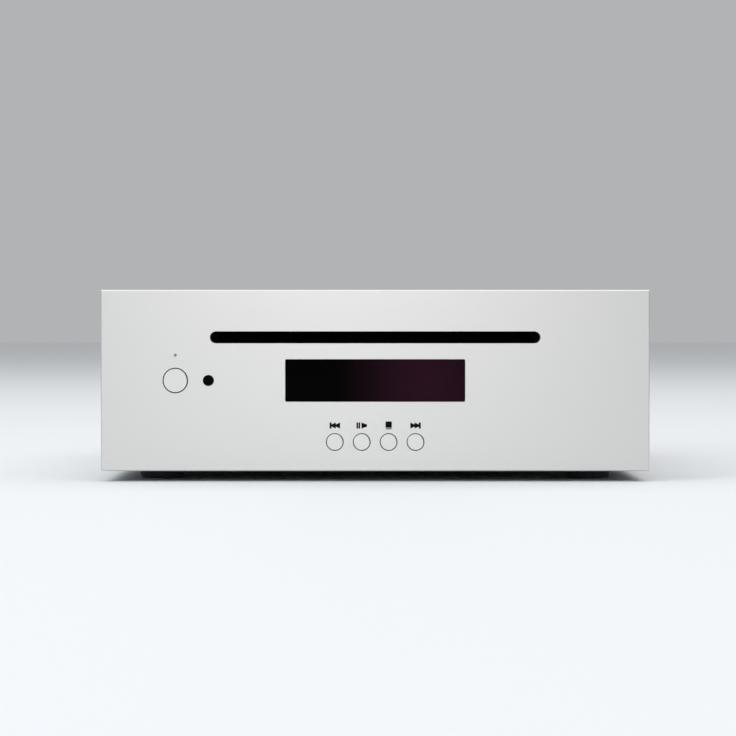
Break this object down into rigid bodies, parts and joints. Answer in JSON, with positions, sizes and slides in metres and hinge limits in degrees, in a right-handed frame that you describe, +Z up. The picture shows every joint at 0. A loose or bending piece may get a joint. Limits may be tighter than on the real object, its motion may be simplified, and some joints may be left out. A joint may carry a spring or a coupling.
{
  "type": "cd player",
  "caption": "Slot-loading compact disc player with a thick satin fascia, dark display, round buttons, and a working loading, clamping and pickup mechanism.",
  "frame": {"origin": "on the table under the middle of the overall box", "axes": "+X to the viewer's right across the fascia, +Y from the fascia to the rear panel, +Z up"},
  "size_m": [0.206, 0.2002, 0.072],
  "materials": {
    "front_panel": "satin anodised",
    "sub_panel": "zinc plated",
    "base_tray": "zinc plated",
    "top_cover": "satin",
    "rear_panel": "fine matt paint",
    "feet": "matt",
    "case_screws": "plated",
    "chassis_screws": "zinc plated",
    "switches": "moulded",
    "control_board": "solder mask",
    "display_window": "polished",
    "display_tube": "glass tube",
    "infrared_window": "polished",
    "infrared_receiver": "moulded",
    "lamp_pipe": "smoked clear",
    "slot_bezel": "fine grain",
    "slot_felts": "short nap",
    "drive_brackets": "zinc plated",
    "rubber_dampers": "soft",
    "drive_deck": "zinc plated",
    "drive_lid": "zinc plated",
    "disc_guides": "slippery moulding",
    "hinge_pins": "ground",
    "roller_lever": "plated",
    "roller_shaft": "ground",
    "roller_sleeves": "ground rubber",
    "roller_belt": "matt",
    "pulley_gear": "moulded",
    "loading_motor": "drawn can",
    "loading_pinion": "cut",
    "clamp_arm": "zinc plated",
    "clamp_puck": "moulded",
    "pickup_frame": "glass-filled moulding",
    "guide_rods": "ground",
    "spindle_motor": "drawn can",
    "turntable": "moulded",
    "pickup_sled": "die cast",
    "objective_lens": "coated lens in a moulded holder",
    "sled_gear": "moulded",
    "sled_motor": "drawn can",
    "sled_pinion": "cut",
    "main_board": "solder mask",
    "board_standoffs": "turned",
    "capacitors": "sleeved",
    "board_chips": "moulded",
    "heat_sink": "anodised",
    "ribbon_sockets": "moulded",
    "control_cable": "flat cable",
    "jack_board": "solder mask",
    "rca_jacks": "gold plated",
    "rca_inserts": "moulded",
    "jack_washers": "moulded",
    "optical_socket": "moulded",
    "optical_shutter": "moulded",
    "power_inlet": "moulded",
    "standby_button": "satin anodised",
    "previous_button": "satin anodised",
    "play_button": "satin anodised",
    "stop_button": "satin anodised",
    "next_button": "satin anodised"
  },
  "bodies": {
    "case": {"front_panel": "front_panel", "sub_panel": "sub_panel", "base_tray": "base_tray", "top_cover": "top_cover", "rear_panel": "rear_panel", "feet": "feet", "case_screws": "case_screws", "chassis_screws": "chassis_screws", "switches": "switches", "control_board": "control_board", "display_window": "display_window", "display_tube": "display_tube", "infrared_window": "infrared_window", "infrared_receiver": "infrared_receiver", "lamp_pipe": "lamp_pipe", "slot_bezel": "slot_bezel", "slot_felts": "slot_felts", "drive_brackets": "drive_brackets", "rubber_dampers": "rubber_dampers", "drive_deck": "drive_deck", "drive_lid": "drive_lid", "disc_guides": "disc_guides", "hinge_pins": "hinge_pins", "loading_motor": "loading_motor", "pickup_frame": "pickup_frame", "guide_rods": "guide_rods", "spindle_motor": "spindle_motor", "sled_motor": "sled_motor", "main_board": "main_board", "board_standoffs": "board_standoffs", "capacitors": "capacitors", "board_chips": "board_chips", "heat_sink": "heat_sink", "ribbon_sockets": "ribbon_sockets", "control_cable": "control_cable", "jack_board": "jack_board", "rca_jacks": "rca_jacks", "rca_inserts": "rca_inserts", "jack_washers": "jack_washers", "optical_socket": "optical_socket", "power_inlet": "power_inlet"},
    "roller_lever": {"roller_lever": "roller_lever", "roller_belt": "roller_belt"},
    "feed_roller": {"roller_shaft": "roller_shaft", "roller_sleeves": "roller_sleeves"},
    "pulley_gear": {"pulley_gear": "pulley_gear"},
    "loading_pinion": {"loading_pinion": "loading_pinion"},
    "clamp_arm": {"clamp_arm": "clamp_arm"},
    "clamp_puck": {"clamp_puck": "clamp_puck"},
    "turntable": {"turntable": "turntable"},
    "pickup_sled": {"pickup_sled": "pickup_sled"},
    "objective_lens": {"objective_lens": "objective_lens"},
    "sled_gear": {"sled_gear": "sled_gear"},
    "sled_pinion": {"sled_pinion": "sled_pinion"},
    "optical_shutter": {"optical_shutter": "optical_shutter"},
    "standby_button": {"standby_button": "standby_button"},
    "previous_button": {"previous_button": "previous_button"},
    "play_button": {"play_button": "play_button"},
    "stop_button": {"stop_button": "stop_button"},
    "next_button": {"next_button": "next_button"}
  },
  "joints": [
    {"name": "standby_press", "type": "slide", "parent": "case", "child": "standby_button", "axis": [0, 1, 0], "range_m": [0, 0.0005], "stiffness_N_per_m": 800, "springref_m": -0.0008},
    {"name": "previous_press", "type": "slide", "parent": "case", "child": "previous_button", "axis": [0, 1, 0], "range_m": [0, 0.0005], "stiffness_N_per_m": 800, "springref_m": -0.0008},
    {"name": "play_press", "type": "slide", "parent": "case", "child": "play_button", "axis": [0, 1, 0], "range_m": [0, 0.0005], "stiffness_N_per_m": 800, "springref_m": -0.0008},
    {"name": "stop_press", "type": "slide", "parent": "case", "child": "stop_button", "axis": [0, 1, 0], "range_m": [0, 0.0005], "stiffness_N_per_m": 800, "springref_m": -0.0008},
    {"name": "next_press", "type": "slide", "parent": "case", "child": "next_button", "axis": [0, 1, 0], "range_m": [0, 0.0005], "stiffness_N_per_m": 800, "springref_m": -0.0008},
    {"name": "roller_lift", "type": "hinge", "parent": "case", "child": "roller_lever", "pos_m": [0, -0.058, 0.04085], "axis": [-1, 0, 0], "range_deg": [0, 9]},
    {"name": "feed_roller_spin", "type": "hinge", "parent": "roller_lever", "child": "feed_roller", "pos_m": [0, -0.07685, 0.04675], "axis": [1, 0, 0], "continuous": true},
    {"name": "pulley_gear_spin", "type": "hinge", "parent": "case", "child": "pulley_gear", "pos_m": [0.0684, -0.058, 0.04085], "axis": [1, 0, 0], "continuous": true},
    {"name": "loading_pinion_spin", "type": "hinge", "parent": "case", "child": "loading_pinion", "pos_m": [0.0716, -0.04915, 0.04085], "axis": [1, 0, 0], "continuous": true},
    {"name": "turntable_spin", "type": "hinge", "parent": "case", "child": "turntable", "pos_m": [0, -0.01085, 0.05005], "axis": [0, 0, 1], "continuous": true},
    {"name": "clamp_lower", "type": "hinge", "parent": "case", "child": "clamp_arm", "pos_m": [0, 0.03915, 0.06265], "axis": [1, 0, 0], "range_deg": [0, 8]},
    {"name": "clamp_puck_spin", "type": "hinge", "parent": "clamp_arm", "child": "clamp_puck", "pos_m": [0, -0.01181, 0.05931], "axis": [0, 0.1392, 0.9903], "continuous": true},
    {"name": "sled_slide", "type": "slide", "parent": "case", "child": "pickup_sled", "axis": [0, 1, 0], "range_m": [0, 0.035]},
    {"name": "lens_focus", "type": "slide", "parent": "pickup_sled", "child": "objective_lens", "axis": [0, 0, 1], "range_m": [-0.0005, 0.0005], "stiffness_N_per_m": 60},
    {"name": "sled_gear_spin", "type": "hinge", "parent": "case", "child": "sled_gear", "pos_m": [-0.03305, 0.03765, 0.03445], "axis": [0, 0, 1], "range_deg": [-2, 504]},
    {"name": "sled_pinion_spin", "type": "hinge", "parent": "case", "child": "sled_pinion", "pos_m": [-0.03305, 0.0485, 0.03445], "axis": [0, 0, 1], "range_deg": [-1436, 3]},
    {"name": "optical_shutter_swing", "type": "hinge", "parent": "case", "child": "optical_shutter", "pos_m": [0.012, 0.09325, 0.03625], "axis": [-1, 0, 0], "range_deg": [0, 80], "stiffness_Nm_per_rad": 0.00002, "springref_deg": -17.19}
  ],
  "couplings": [
    {"joint": "pulley_gear_spin", "follows": "feed_roller_spin", "ratio": 1},
    {"joint": "loading_pinion_spin", "follows": "feed_roller_spin", "ratio": -2.1429},
    {"joint": "sled_gear_spin", "follows": "sled_slide", "rad_per_m": 250},
    {"joint": "sled_pinion_spin", "follows": "sled_slide", "rad_per_m": -714.29}
  ]
}
